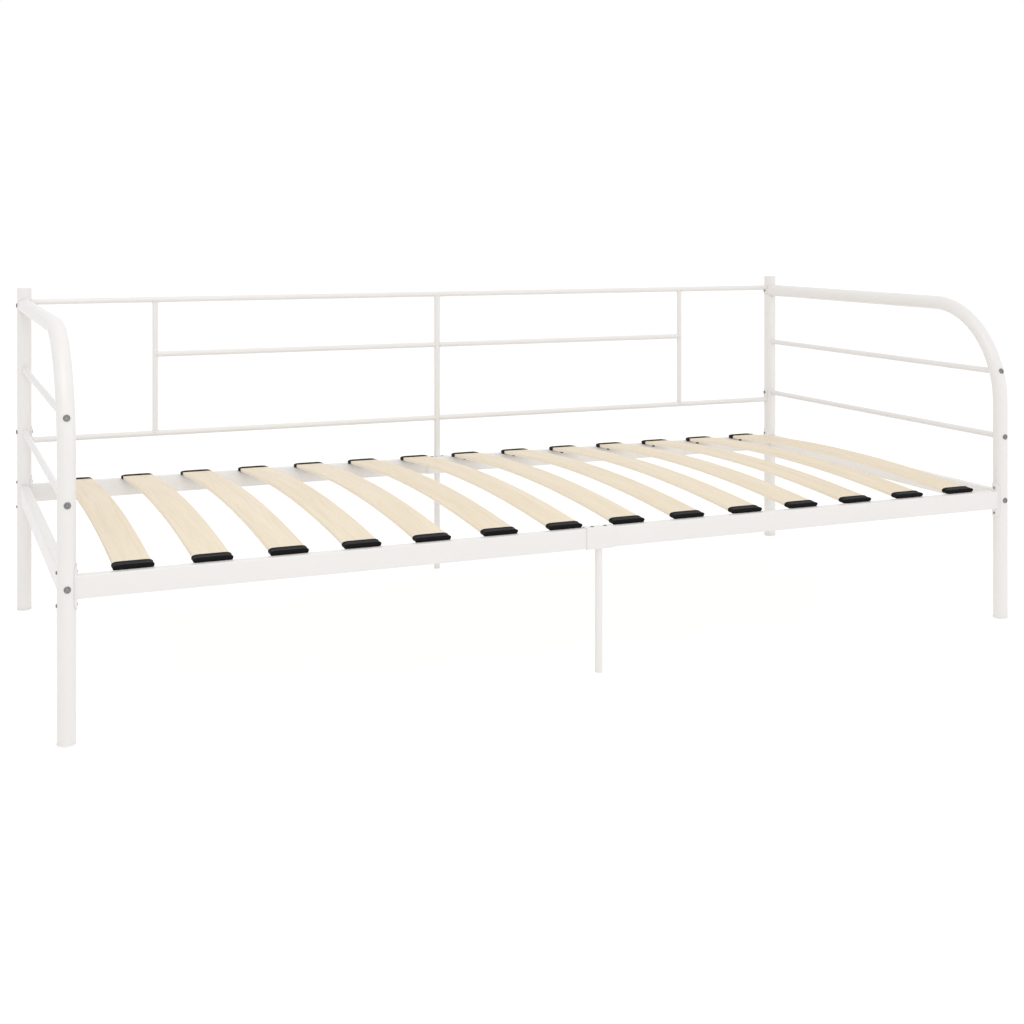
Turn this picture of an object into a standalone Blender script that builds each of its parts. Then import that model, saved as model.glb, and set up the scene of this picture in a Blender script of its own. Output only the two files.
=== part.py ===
"""Daybed: a white tube-steel frame with bent-tube arms, a railed backrest and sprung wooden slats.

Metres, +Z up. The origin lies on the floor under the middle of the bed. +X runs along the bed,
the open front faces -Y, and the backrest stands at +Y.
"""

import math

import bpy
from mathutils import Vector

# Driving dimensions: the frame
SPAN_X = 2.040               # between the legs' centre lines, along the bed
SPAN_Y = 0.942               # between the legs' centre lines, across the bed
TUBE_RADIUS = 0.016          # legs, posts and arms
TUBE_WALL = 0.0012
POST_HEIGHT = 0.7475
ARM_HEIGHT = 0.7065          # centre line of the arm
BEND_RADIUS = 0.220          # arm to front leg, on the centre line
ROD_RADIUS = 0.0065          # side rods and backrest rods
WELD_STEP = 0.0001           # each rod is this much thinner than the one it is welded to
CENTRE_TUBE_RADIUS = 0.0075  # centre legs and the backrest's middle upright
SIDE_ROD_HEIGHTS = {"lower": 0.413, "upper": 0.559}

# The bed rails, the end beams and the sleeves
RAIL_TOP = 0.290
RAIL_HEIGHT = 0.040
RAIL_DEPTH = 0.020
RAIL_END_GAP = 0.006         # from the middle of the bed to the end of each half rail
RAIL_BORE_END = 0.020        # the rail's bore stops this far from the leg's centre line
PLATE_THICKNESS = 0.0018     # the rail's end plate, curved round the leg
PLATE_WIDTH = 0.024
PLATE_HEIGHT = 0.080
PLATE_CORNER = 0.0115
PLATE_BOLT_HEIGHTS = (0.2395, 0.2965)
BEAM_BOLT_HEIGHT = 0.269
BEAM_END_WALL = 0.004
SLEEVE_LENGTH = 0.062
SLEEVE_WALL = 0.0013
SLEEVE_SCREW_X = 0.0144

# The backrest
BACK_ROD_HEIGHTS = {"top": 0.714, "middle": 0.5825, "lower": 0.3925}
BACK_UPRIGHT_X = 0.721
LUG_THICKNESS = 0.0018       # the backrest's lugs, curved round the posts
LUG_EDGES = {"top": (-0.005, 0.009), "lower": (-0.009, 0.009)}   # across the bed, from the post's middle
LUG_CORNER = 0.0065
LUG_RIM = 0.001              # material beyond the rod
LUG_MARGIN = 0.0115          # material beyond the bolt's centre
SPIGOT_RADIUS = 0.004        # under the middle upright, held in the back sleeve
SPIGOT_LENGTH = 0.012

# The slats and their end caps
SLATS_PER_HALF = 7
SLAT_ROWS = ((-0.9058, -0.0678), (0.0726, 0.9130))   # the end slats of the left and right half
SLAT_WIDTH = 0.067
SLAT_THICKNESS = 0.008
SLAT_CROWN_TOP = 0.3175      # top of the slat at mid span
SLAT_CURVATURE = 0.0965      # drop below the crown per metre squared from mid span
SLAT_HALF_LENGTH = 0.4585
SLAT_SEGMENTS = 13
CAP_WIDTH = 0.073
CAP_THICKNESS = 0.0124
CAP_OUTLINE_POWERS = (10, 2.4)   # superellipse powers across the width and the thickness
CAP_OUTLINE_POINTS = 24
CAP_MOUTH_Y = 0.4436
CAP_POCKET_END_Y = 0.4590
CAP_SHOULDER_Y = 0.4605      # the body ends here, just inside the bed rail
CAP_TIP_Y = 0.4655           # the ledge on the rail ends here
CAP_TIP_CORNER = 0.004
PEG_RADIUS = 0.0025          # enters the rail's inner wall
PEG_LENGTH = 0.006
PEG_HEIGHT = 0.2832
PEG_BOSS = Vector((0.004, 0.0045, 0.0035))   # half width, depth, and drop below the peg's centre

# Holes and running gaps
GAP = 0.0003
CLEAR = 0.01                 # cutters run this far past what they cut
DRILL_REACH = 0.03           # half the length of a drill through a leg
M6_HOLE_RADIUS = 0.00325
M8_HOLE_RADIUS = 0.00425
M5_HOLE_RADIUS = 0.0026
NUT_POCKET_RADIUS = 0.0043   # in the backrest, behind each lug
NUT_POCKET_DEPTH = 0.0035
ARM_SPIGOT_RADIUS = 0.012
ARM_SPIGOT_WALL = 0.0015
ARM_SPIGOT_START = 0.024     # the spigot is fixed in the arm from this far before the post's centre line
ARM_SPIGOT_END = 0.008       # and ends this far past it
STUB_RADIUS = 0.005          # on the posts, for the side rods' back ends
STUB_LENGTH = 0.014
NUT_PLUG_LENGTH = 0.012      # solid end of a side rod, tapped for its bolt

# Facets round each kind of tube and hole
TUBE_SIDES = 16
ROD_SIDES = 12
HOLE_SIDES = 8
CORNER_SEGMENTS = 3
BEND_SEGMENTS = 11
SHARP_ANGLE = math.radians(35)

HALF_X = SPAN_X / 2
HALF_Y = SPAN_Y / 2
RAIL_CENTRE_Z = RAIL_TOP - RAIL_HEIGHT / 2
BENT_END_Y = BEND_RADIUS - HALF_Y       # where the arm's straight run begins
AXES = {"X": (0, math.pi / 2, 0), "Y": (math.pi / 2, 0, 0), "Z": (0, 0, 0)}

COLOURS = {
    "white_steel": ((0.86, 0.845, 0.835, 1.0), 0.38, 0.0),
    "slat_wood": ((0.80, 0.66, 0.46, 1.0), 0.55, 0.0),
    "cap_plastic": ((0.014, 0.014, 0.014, 1.0), 0.55, 0.0),
}


# ---------------------------------------------------------------- helpers

def clear_scene():
    for obj in list(bpy.data.objects):
        bpy.data.objects.remove(obj, do_unlink=True)


def make_collection(name):
    collection = bpy.data.collections.new(name)
    bpy.context.scene.collection.children.link(collection)
    return collection


def make_material(name):
    colour, roughness, metallic = COLOURS[name]
    material = bpy.data.materials.new(name)
    material.use_nodes = True
    shader = material.node_tree.nodes["Principled BSDF"]
    shader.inputs["Base Color"].default_value = colour
    shader.inputs["Roughness"].default_value = roughness
    shader.inputs["Metallic"].default_value = metallic
    return material


def rod(radius, axis, start, end, centre, sides=ROD_SIDES):
    """A solid cylinder along a world axis, from start to end on it; centre gives the other two."""
    index = "XYZ".index(axis)
    location = list(centre)
    location.insert(index, (start + end) / 2)
    bpy.ops.mesh.primitive_cylinder_add(vertices=sides, radius=radius, depth=abs(end - start),
                                        location=location, rotation=AXES[axis])
    return bpy.context.object


def box(low, high):
    """A solid box between two corners."""
    size = [b - a for a, b in zip(low, high)]
    centre = [(a + b) / 2 for a, b in zip(low, high)]
    bpy.ops.mesh.primitive_cube_add(size=1.0, location=centre)
    obj = bpy.context.object
    for vertex in obj.data.vertices:
        vertex.co = Vector(c * s for c, s in zip(vertex.co, size))
    return obj


def to_mesh(curve_object):
    """Turn a curve object into a closed mesh object in the same place."""
    bpy.context.view_layer.update()
    evaluated = curve_object.evaluated_get(bpy.context.evaluated_depsgraph_get())
    mesh = bpy.data.meshes.new_from_object(evaluated)
    obj = bpy.data.objects.new(curve_object.name, mesh)
    obj.matrix_world = curve_object.matrix_world
    bpy.context.scene.collection.objects.link(obj)
    bpy.data.objects.remove(curve_object, do_unlink=True)
    weld = obj.modifiers.new("weld caps", "WELD")
    weld.merge_threshold = WELD_STEP / 5
    bake(obj)
    return obj


def swept_tube(points, radius, sides=TUBE_SIDES):
    """A solid round bar along a run of points."""
    curve = bpy.data.curves.new("sweep", "CURVE")
    curve.dimensions = "3D"
    curve.bevel_depth = radius
    curve.bevel_resolution = (sides - 4) // 2
    curve.use_fill_caps = True
    spline = curve.splines.new("POLY")
    spline.points.add(len(points) - 1)
    for target, point in zip(spline.points, points):
        target.co = (*point, 1.0)
    obj = bpy.data.objects.new("sweep", curve)
    bpy.context.scene.collection.objects.link(obj)
    return to_mesh(obj)


def plate(outline, thickness, rotation, location):
    """A flat plate of a closed outline, its thickness centred on the outline's plane."""
    curve = bpy.data.curves.new("plate", "CURVE")
    curve.dimensions = "2D"
    curve.fill_mode = "BOTH"
    curve.extrude = thickness / 2
    spline = curve.splines.new("POLY")
    spline.points.add(len(outline) - 1)
    for target, (u, v) in zip(spline.points, outline):
        target.co = (u, v, 0.0, 1.0)
    spline.use_cyclic_u = True
    obj = bpy.data.objects.new("plate", curve)
    obj.rotation_euler = rotation
    obj.location = location
    bpy.context.scene.collection.objects.link(obj)
    return to_mesh(obj)


def arc(centre, radius, start_degrees, end_degrees, segments):
    """Points along a circular arc, both ends included."""
    turns = (start_degrees + (end_degrees - start_degrees) * i / segments for i in range(segments + 1))
    angles = [math.radians(turn) for turn in turns]
    return [(centre[0] + radius * math.cos(a), centre[1] + radius * math.sin(a)) for a in angles]


def rounded_outline(centre, half_width, half_height, radius):
    """A closed outline: a rectangle with rounded corners."""
    outline = []
    for quarter, (sign_u, sign_v) in enumerate(((1, 1), (-1, 1), (-1, -1), (1, -1))):
        corner = (centre[0] + sign_u * (half_width - radius), centre[1] + sign_v * (half_height - radius))
        outline += arc(corner, radius, 90 * quarter, 90 * (quarter + 1), CORNER_SEGMENTS)
    return outline


def bake(obj):
    """Replace an object's mesh by its evaluated one, in world coordinates."""
    bpy.context.view_layer.update()
    evaluated = obj.evaluated_get(bpy.context.evaluated_depsgraph_get())
    mesh = bpy.data.meshes.new_from_object(evaluated)
    mesh.transform(obj.matrix_world)
    obj.modifiers.clear()
    obj.data = mesh
    obj.matrix_world.identity()


def combine(piece, others, operation):
    """Join or cut a piece with other solids, which are then kept as wire guides."""
    for other in others:
        modifier = piece.modifiers.new(operation.lower(), "BOOLEAN")
        modifier.operation = operation
        modifier.solver = "EXACT"
        modifier.object = other
        bake(piece)
        file_in(other, GUIDES)
        other.hide_render = True
        other.display_type = "WIRE"
    return piece


def join(piece, *others):
    return combine(piece, others, "UNION")


def cut(piece, *others):
    return combine(piece, others, "DIFFERENCE")


def file_in(obj, collection):
    for old in list(obj.users_collection):
        old.objects.unlink(obj)
    collection.objects.link(obj)


def finish(obj, name, material):
    """Name a finished piece, shade it and file it with the daybed's pieces."""
    bake(obj)
    obj.name = name
    obj.data.name = name
    obj.data.materials.clear()
    obj.data.materials.append(material)
    obj.data.shade_smooth()
    obj.data.set_sharp_from_angle(angle=SHARP_ANGLE)
    file_in(obj, PIECES)
    return obj


def copy_of(obj, name, offset=(0, 0, 0), turn=0.0):
    """Another object on the same mesh, turned about +Z and then moved."""
    twin = bpy.data.objects.new(name, obj.data)
    twin.location = offset
    twin.rotation_euler = (0, 0, turn)
    PIECES.objects.link(twin)
    return twin


# ---------------------------------------------------------------- end frames

def arm_path(end_y):
    """Centre line of the bent arm tube, from the front foot up and back."""
    bend = arc((BENT_END_Y, ARM_HEIGHT - BEND_RADIUS), BEND_RADIUS, 180, 90, BEND_SEGMENTS)
    return [(-HALF_Y, 0.0)] + bend + [(end_y, ARM_HEIGHT)]


def arm_bar(radius, overshoot=0.0, end_y=HALF_Y):
    """The arm's solid bar in the left end's plane; overshoot lengthens it past the foot."""
    points = [(-HALF_X, y, z) for y, z in arm_path(end_y)]
    points[0] = (-HALF_X, -HALF_Y, -overshoot)
    return swept_tube(points, radius)


def post_bar(radius, overshoot=0.0):
    """The post's solid bar in the left end's plane; overshoot lengthens it at both ends."""
    return rod(radius, "Z", -overshoot, POST_HEIGHT + overshoot, (-HALF_X, HALF_Y), TUBE_SIDES)


def leg_bar(end, side, radius):
    """A solid bar along a front leg or a back post; end and side are -1 or +1."""
    bar = post_bar(radius, CLEAR) if side > 0 else arm_bar(radius, CLEAR)
    if end > 0:
        bar.location.x += SPAN_X
    return bar


def saddle_plate(outline, thickness, end, side):
    """A plate of an outline in Y and Z, its inboard face curved round a leg."""
    reach = TUBE_RADIUS + GAP + thickness
    slab = plate(outline, reach, (math.pi / 2, 0, math.pi / 2), (end * (HALF_X - reach), 0, 0))
    return combine(slab, [leg_bar(end, side, reach)], "INTERSECT")


def drill_x(piece, radius, y, heights):
    """Holes through both walls, along the bed."""
    span = (-HALF_X - DRILL_REACH, -HALF_X + DRILL_REACH)
    return cut(piece, *(rod(radius, "X", *span, (y, z), HOLE_SIDES) for z in heights))


def drill_y(piece, radius, y, heights):
    """Holes through both walls, across the bed."""
    span = (y - DRILL_REACH, y + DRILL_REACH)
    return cut(piece, *(rod(radius, "Y", *span, (-HALF_X, z), HOLE_SIDES) for z in heights))


def make_arms(material):
    """Front leg and arm: one bent tube, with a reduced spigot that enters the back post."""
    bar = arm_bar(TUBE_RADIUS)
    cut(bar, post_bar(TUBE_RADIUS + GAP))
    start, end = HALF_Y - ARM_SPIGOT_START, HALF_Y + ARM_SPIGOT_END
    centre = (-HALF_X, ARM_HEIGHT)
    join(bar, rod(ARM_SPIGOT_RADIUS, "Y", start, end, centre, TUBE_SIDES))
    cut(bar, arm_bar(TUBE_RADIUS - TUBE_WALL, CLEAR, start))
    bore = ARM_SPIGOT_RADIUS - ARM_SPIGOT_WALL
    cut(bar, rod(bore, "Y", start - CLEAR, end + CLEAR, centre, TUBE_SIDES))
    drill_y(bar, M8_HOLE_RADIUS, -HALF_Y, [BEAM_BOLT_HEIGHT, *SIDE_ROD_HEIGHTS.values()])
    drill_x(bar, M6_HOLE_RADIUS, -HALF_Y, PLATE_BOLT_HEIGHTS)
    drill_x(bar, M6_HOLE_RADIUS, HALF_Y, [ARM_HEIGHT])
    left = finish(bar, "left_arm_and_front_leg", material)
    copy_of(left, "right_arm_and_front_leg", (SPAN_X, 0, 0))


def make_posts(material):
    """Back posts: a straight tube with welded stubs that carry the side rods' back ends."""
    post = post_bar(TUBE_RADIUS)
    for height in SIDE_ROD_HEIGHTS.values():
        end = HALF_Y - TUBE_RADIUS - STUB_LENGTH
        join(post, rod(STUB_RADIUS, "Y", end, HALF_Y - TUBE_RADIUS / 2, (-HALF_X, height)))
    cut(post, post_bar(TUBE_RADIUS - TUBE_WALL, CLEAR))
    arm_hole = ARM_SPIGOT_RADIUS + GAP
    cut(post, rod(arm_hole, "Y", HALF_Y - DRILL_REACH, HALF_Y, (-HALF_X, ARM_HEIGHT), TUBE_SIDES))
    drill_x(post, M6_HOLE_RADIUS, HALF_Y, [*PLATE_BOLT_HEIGHTS, SIDE_ROD_HEIGHTS["lower"], ARM_HEIGHT])
    drill_y(post, M8_HOLE_RADIUS, HALF_Y, [BEAM_BOLT_HEIGHT])
    left = finish(post, "left_back_post", material)
    copy_of(left, "right_back_post", (SPAN_X, 0, 0))


def make_side_rods(material):
    """Thin rods under each arm: bored for the post's stub, with a tapped plug at the front."""
    for level, height in SIDE_ROD_HEIGHTS.items():
        centre = (-HALF_X, height)
        side_rod = rod(ROD_RADIUS, "Y", -HALF_Y, HALF_Y, centre)
        cut(side_rod, arm_bar(TUBE_RADIUS + GAP), post_bar(TUBE_RADIUS + GAP))
        front = min(vertex.co.y for vertex in side_rod.data.vertices)
        cut(side_rod, rod(STUB_RADIUS + GAP, "Y", front + NUT_PLUG_LENGTH, HALF_Y, centre))
        cut(side_rod, rod(M6_HOLE_RADIUS, "Y", -HALF_Y, front + 2 * NUT_PLUG_LENGTH, centre, HOLE_SIDES))
        left = finish(side_rod, f"left_{level}_side_rod", material)
        copy_of(left, f"right_{level}_side_rod", (SPAN_X, 0, 0))


def make_end_beams(material):
    """Box-section beams under the side rods, closed at both ends by tapped end walls."""
    half = Vector((RAIL_DEPTH / 2, HALF_Y, RAIL_HEIGHT / 2))
    centre = Vector((-HALF_X, 0, RAIL_CENTRE_Z))
    beam = box(centre - half, centre + half)
    cut(beam, arm_bar(TUBE_RADIUS + GAP), post_bar(TUBE_RADIUS + GAP))
    end_y = HALF_Y - TUBE_RADIUS - BEAM_END_WALL
    hollow = Vector((half.x - TUBE_WALL, end_y, half.z - TUBE_WALL))
    cut(beam, box(centre - hollow, centre + hollow))
    cut(beam, rod(M8_HOLE_RADIUS, "Y", -HALF_Y, HALF_Y, (-HALF_X, BEAM_BOLT_HEIGHT), HOLE_SIDES))
    left = finish(beam, "left_end_beam", material)
    copy_of(left, "right_end_beam", (SPAN_X, 0, 0))


# ---------------------------------------------------------------- bed rails

def slat_positions():
    steps = [index / (SLATS_PER_HALF - 1) for index in range(SLATS_PER_HALF)]
    return [low + (high - low) * step for low, high in SLAT_ROWS for step in steps]


def make_half_rail(name, end, side, material):
    """Half a bed rail: a box tube welded to a plate that hugs the leg; end and side are -1 or +1."""
    y = side * HALF_Y
    rail = rail_box(end, y, (RAIL_END_GAP, HALF_X - TUBE_RADIUS / 2), 0)
    outline = rounded_outline((y, RAIL_CENTRE_Z), PLATE_WIDTH / 2, PLATE_HEIGHT / 2, PLATE_CORNER)
    join(rail, saddle_plate(outline, PLATE_THICKNESS, end, side))
    cut(rail, leg_bar(end, side, TUBE_RADIUS + GAP))
    cut(rail, rail_box(end, y, (RAIL_END_GAP - CLEAR, HALF_X - RAIL_BORE_END), TUBE_WALL))
    bolt_span = (end * (HALF_X - DRILL_REACH), end * HALF_X)
    for height in PLATE_BOLT_HEIGHTS:
        cut(rail, rod(M6_HOLE_RADIUS, "X", *bolt_span, (y, height), HOLE_SIDES))
    inner = side * (HALF_Y - RAIL_DEPTH / 2)
    for x in slat_positions():
        if x * end > 0:
            span = (inner - PEG_LENGTH, inner + PEG_LENGTH)
            cut(rail, rod(PEG_RADIUS + GAP, "Y", *span, (x, PEG_HEIGHT), HOLE_SIDES))
    cut(rail, top_drill(M5_HOLE_RADIUS, end * SLEEVE_SCREW_X, y))
    return finish(rail, name, material)


def top_drill(radius, x, y):
    """A drill through the top wall of a bed rail or a sleeve."""
    return rod(radius, "Z", RAIL_TOP - CLEAR, RAIL_TOP + CLEAR, (x, y), HOLE_SIDES)


def rail_box(end, y, reach, inset):
    """The rail's box section, or its bore, between two distances from the bed's middle."""
    low_x, high_x = sorted(end * distance for distance in reach)
    half = Vector((0, RAIL_DEPTH / 2 - inset, RAIL_HEIGHT / 2 - inset))
    return box(Vector((low_x, y, RAIL_CENTRE_Z)) - half, Vector((high_x, y, RAIL_CENTRE_Z)) + half)


def make_bed_rails(material):
    for side, side_name in ((-1, "front"), (1, "back")):
        for end, end_name in ((-1, "left"), (1, "right")):
            make_half_rail(f"{side_name}_{end_name}_bed_rail", end, side, material)


def make_centre_supports(material):
    """A sleeve that joins two half rails, welded on a thin leg."""
    inner = Vector((SLEEVE_LENGTH / 2, RAIL_DEPTH / 2 + GAP, RAIL_HEIGHT / 2 + GAP))
    outer = inner + Vector((0, SLEEVE_WALL, SLEEVE_WALL))
    for side, name in ((-1, "front_centre_leg_and_sleeve"), (1, "back_centre_leg_and_sleeve")):
        y = side * HALF_Y
        centre = Vector((0, y, RAIL_CENTRE_Z))
        support = box(centre - outer, centre + outer)
        leg_top = RAIL_CENTRE_Z - outer.z
        join(support, rod(CENTRE_TUBE_RADIUS, "Z", 0, leg_top + SLEEVE_WALL / 2, (0, y)))
        through = inner + Vector((CLEAR, 0, 0))
        cut(support, box(centre - through, centre + through))
        cut(support, rod(CENTRE_TUBE_RADIUS - TUBE_WALL, "Z", -CLEAR, leg_top - GAP, (0, y)))
        for x in (-SLEEVE_SCREW_X, SLEEVE_SCREW_X):
            cut(support, top_drill(M5_HOLE_RADIUS, x, y))
        if side > 0:
            cut(support, top_drill(SPIGOT_RADIUS + GAP, 0, y))
        finish(support, name, material)


# ---------------------------------------------------------------- backrest

def backrest_bars(inset, sleeve_top, end):
    """The backrest's crossing bars, all thinner by inset: their outsides, or their bores."""
    top, middle, lower = (BACK_ROD_HEIGHTS[level] for level in ("top", "middle", "lower"))
    radius = ROD_RADIUS - inset
    upright = radius - WELD_STEP
    bars = [rod(radius, "X", -end, end, (HALF_Y, height)) for height in (top, lower)]
    bars += [rod(upright, "Z", lower, top, (x, HALF_Y)) for x in (-BACK_UPRIGHT_X, BACK_UPRIGHT_X)]
    crossbar = rod(upright - WELD_STEP, "X", -BACK_UPRIGHT_X, BACK_UPRIGHT_X, (HALF_Y, middle))
    centre_top = top - (ROD_RADIUS if inset else ROD_RADIUS / 4)   # the bore stops under the top rod
    centre = rod(CENTRE_TUBE_RADIUS - inset, "Z", sleeve_top + inset, centre_top, (0, HALF_Y))
    return bars + [crossbar, centre]


def make_backrest(material):
    """Welded rods and uprights, with a bolted lug at each corner and a spigot for the centre sleeve."""
    sleeve_top = RAIL_TOP + SLEEVE_WALL + 2 * GAP
    lug_x = HALF_X - TUBE_RADIUS - GAP
    lug_back = lug_x - LUG_THICKNESS
    outer = backrest_bars(0, sleeve_top, lug_x - GAP)
    frame = join(outer[0], *outer[1:])
    bolts = {"top": ARM_HEIGHT, "lower": SIDE_ROD_HEIGHTS["lower"]}
    for level, bolt_z in bolts.items():
        rod_z = BACK_ROD_HEIGHTS[level]
        away = math.copysign(1, rod_z - bolt_z)
        low, high = sorted((rod_z + away * (ROD_RADIUS + LUG_RIM), bolt_z - away * LUG_MARGIN))
        front, back = LUG_EDGES[level]
        centre = (HALF_Y + (front + back) / 2, (low + high) / 2)
        outline = rounded_outline(centre, (back - front) / 2, (high - low) / 2, LUG_CORNER)
        join(frame, *(saddle_plate(outline, LUG_THICKNESS, end, 1) for end in (-1, 1)))
    cut(frame, *(leg_bar(end, side, TUBE_RADIUS + GAP) for end in (-1, 1) for side in (-1, 1)))
    end_z = sleeve_top - SPIGOT_LENGTH
    join(frame, rod(SPIGOT_RADIUS, "Z", end_z, sleeve_top + SPIGOT_LENGTH / 4, (0, HALF_Y)))
    bores = backrest_bars(TUBE_WALL, sleeve_top, lug_back - TUBE_WALL)
    cavity = join(bores[0], *bores[1:])
    join(cavity, rod(SPIGOT_RADIUS / 2, "Z", end_z - CLEAR, sleeve_top + CLEAR, (0, HALF_Y), HOLE_SIDES))
    cut(frame, cavity)
    for bolt_z in bolts.values():
        for end in (-1, 1):
            centre = (HALF_Y, bolt_z)
            pocket = sorted((end * lug_back, end * (lug_back - NUT_POCKET_DEPTH)))
            cut(frame, rod(M6_HOLE_RADIUS, "X", end * HALF_X, end * (lug_x - CLEAR), centre, HOLE_SIDES))
            cut(frame, rod(NUT_POCKET_RADIUS, "X", *pocket, centre, HOLE_SIDES))
    finish(frame, "backrest", material)


# ---------------------------------------------------------------- slats

def slat_top(y):
    return SLAT_CROWN_TOP - SLAT_CURVATURE * y * y


def make_slats(material):
    """Sprung slats: bowed boards that all share one mesh."""
    stations = [SLAT_HALF_LENGTH * (2 * i / SLAT_SEGMENTS - 1) for i in range(SLAT_SEGMENTS + 1)]
    outline = [(y, slat_top(y)) for y in stations]
    outline += [(y, slat_top(y) - SLAT_THICKNESS) for y in reversed(stations)]
    first, *others = slat_positions()
    board = plate(outline, SLAT_WIDTH, (math.pi / 2, 0, math.pi / 2), (first, 0, 0))
    board = finish(board, "slat_01", material)
    for number, x in enumerate(others, start=2):
        copy_of(board, f"slat_{number:02d}", (x - first, 0, 0))


def cap_outline():
    """The cap's section: a flattened oval, as width and height from its middle."""
    power_u, power_v = CAP_OUTLINE_POWERS
    outline = []
    for index in range(CAP_OUTLINE_POINTS):
        turn = 2 * math.pi * index / CAP_OUTLINE_POINTS
        u = math.copysign(abs(math.cos(turn)) ** (2 / power_u), math.cos(turn)) * CAP_WIDTH / 2
        v = math.copysign(abs(math.sin(turn)) ** (2 / power_v), math.sin(turn)) * CAP_THICKNESS / 2
        outline.append((u, v))
    return outline


def make_cap(material, x):
    """A slat end cap at the back rail: pocket, ledge on the rail, and a peg into its inner wall."""
    slope = -2 * SLAT_CURVATURE * SLAT_HALF_LENGTH
    tilt = math.atan(slope)

    def on_slat(y):
        """The middle of the slat's thickness, along its end."""
        return (x, y, slat_top(SLAT_HALF_LENGTH) - SLAT_THICKNESS / 2 + slope * (y - SLAT_HALF_LENGTH))

    length = CAP_TIP_Y + CAP_TIP_CORNER - CAP_MOUTH_Y
    cap = plate(cap_outline(), length, (math.pi / 2 + tilt, 0, 0), on_slat(CAP_MOUTH_Y + length / 2))
    half = CAP_WIDTH / 2 + GAP
    tip_u, tip_y = half - CAP_TIP_CORNER, CAP_TIP_Y - CAP_TIP_CORNER
    plan = arc((x + tip_u, tip_y), CAP_TIP_CORNER, 0, 90, CORNER_SEGMENTS)
    plan += arc((x - tip_u, tip_y), CAP_TIP_CORNER, 90, 180, CORNER_SEGMENTS)
    plan += [(x - half, CAP_MOUTH_Y - CLEAR), (x + half, CAP_MOUTH_Y - CLEAR)]
    combine(cap, [plate(plan, RAIL_HEIGHT, (0, 0, 0), (0, 0, RAIL_TOP))], "INTERSECT")
    notch_low = (x - half - CLEAR, CAP_SHOULDER_Y, RAIL_TOP - RAIL_HEIGHT)
    cut(cap, box(notch_low, (x + half + CLEAR, CAP_TIP_Y + CLEAR, RAIL_TOP + GAP)))
    boss_low = (x - PEG_BOSS.x, CAP_SHOULDER_Y - PEG_BOSS.y, PEG_HEIGHT - PEG_BOSS.z)
    boss = box(boss_low, (x + PEG_BOSS.x, CAP_SHOULDER_Y, RAIL_TOP - 2 * TUBE_WALL))
    peg_span = (CAP_SHOULDER_Y - CLEAR / 4, CAP_SHOULDER_Y + PEG_LENGTH)
    peg = rod(PEG_RADIUS, "Y", *peg_span, (x, PEG_HEIGHT), HOLE_SIDES)
    join(cap, boss, peg)
    depth = CAP_TIP_Y - CAP_MOUTH_Y + CLEAR
    pocket_half = Vector((SLAT_WIDTH / 2 + GAP, depth / 2, SLAT_THICKNESS / 2 + GAP))
    pocket = box(-pocket_half, pocket_half)
    pocket.rotation_euler = (tilt, 0, 0)
    pocket.location = on_slat(CAP_POCKET_END_Y - depth / 2)
    cut(cap, pocket)
    return finish(cap, "back_slat_cap_01", material)


def make_caps(material):
    first, *others = slat_positions()
    cap = make_cap(material, first)
    for number, x in enumerate(others, start=2):
        copy_of(cap, f"back_slat_cap_{number:02d}", (x - first, 0, 0))
    for number, x in enumerate(slat_positions(), start=1):
        copy_of(cap, f"front_slat_cap_{number:02d}", (x + first, 0, 0), math.pi)


clear_scene()
PIECES = make_collection("Daybed")
GUIDES = make_collection("Cutters")
MATERIALS = {name: make_material(name) for name in COLOURS}
make_arms(MATERIALS["white_steel"])
make_posts(MATERIALS["white_steel"])
make_side_rods(MATERIALS["white_steel"])
make_end_beams(MATERIALS["white_steel"])
make_bed_rails(MATERIALS["white_steel"])
make_centre_supports(MATERIALS["white_steel"])
make_backrest(MATERIALS["white_steel"])
make_slats(MATERIALS["slat_wood"])
make_caps(MATERIALS["cap_plastic"])
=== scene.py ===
"""The daybed's looks: tubes, bolts, plugs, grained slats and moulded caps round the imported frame."""
import math

import bmesh
import bpy
from mathutils import Matrix, Vector, noise


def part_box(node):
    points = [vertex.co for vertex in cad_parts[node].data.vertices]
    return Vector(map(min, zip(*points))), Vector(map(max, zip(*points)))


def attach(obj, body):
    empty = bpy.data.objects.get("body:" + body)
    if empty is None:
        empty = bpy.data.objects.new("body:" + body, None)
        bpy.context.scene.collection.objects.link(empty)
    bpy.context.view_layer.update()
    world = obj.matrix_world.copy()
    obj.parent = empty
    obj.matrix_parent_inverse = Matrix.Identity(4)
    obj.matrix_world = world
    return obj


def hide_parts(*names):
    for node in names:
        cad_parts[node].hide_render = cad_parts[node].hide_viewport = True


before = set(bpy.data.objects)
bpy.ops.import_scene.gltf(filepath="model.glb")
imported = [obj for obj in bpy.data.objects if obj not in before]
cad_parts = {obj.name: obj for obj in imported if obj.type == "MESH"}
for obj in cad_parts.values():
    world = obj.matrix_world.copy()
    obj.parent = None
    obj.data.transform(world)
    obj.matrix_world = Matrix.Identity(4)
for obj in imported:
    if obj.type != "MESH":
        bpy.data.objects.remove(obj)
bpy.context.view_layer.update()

X, Y, Z = Vector((1, 0, 0)), Vector((0, 1, 0)), Vector((0, 0, 1))
ENDS = ((-1, "left"), (1, "right"))      # along X
SIDES = ((-1, "front"), (1, "back"))     # along Y


def middle(node):
    low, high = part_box(node)
    return (low + high) / 2


def width(node):
    low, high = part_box(node)
    return high.x - low.x


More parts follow.
